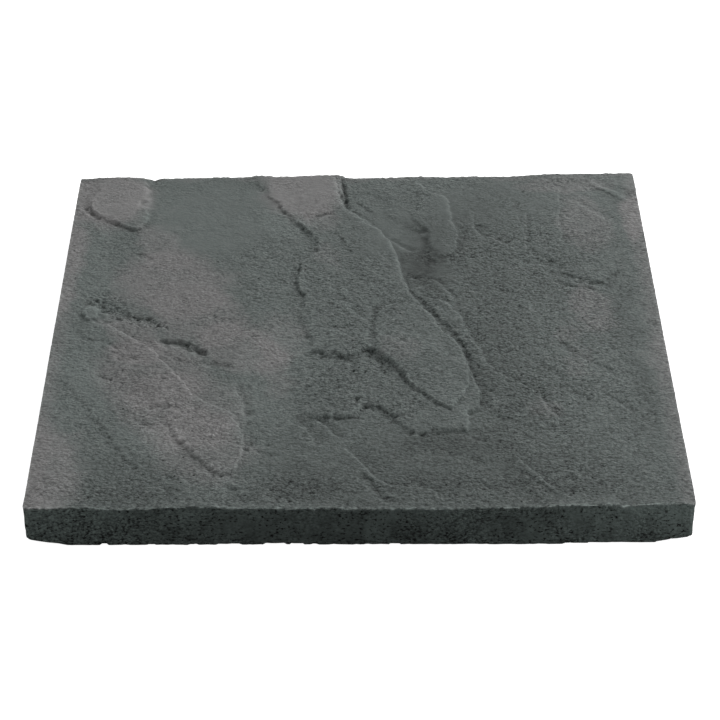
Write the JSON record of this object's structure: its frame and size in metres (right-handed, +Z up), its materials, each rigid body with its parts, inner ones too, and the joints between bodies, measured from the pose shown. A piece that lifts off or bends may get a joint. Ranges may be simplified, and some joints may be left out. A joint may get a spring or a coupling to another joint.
{
  "type": "paving slab",
  "caption": "Square riven concrete paving slab with a cleft stone-like face, plain sides and a flat underside to bed down.",
  "frame": {"origin": "centre of the flat underside", "axes": "+Z up out of the riven face, -Y towards the front edge, +X to the right"},
  "size_m": [0.45, 0.45, 0.0368],
  "materials": {
    "concrete": "matt, fine sandy grain, charcoal grey with paler warm patches"
  },
  "bodies": {
    "root": {"slab": "concrete"}
  },
  "joints": []
}
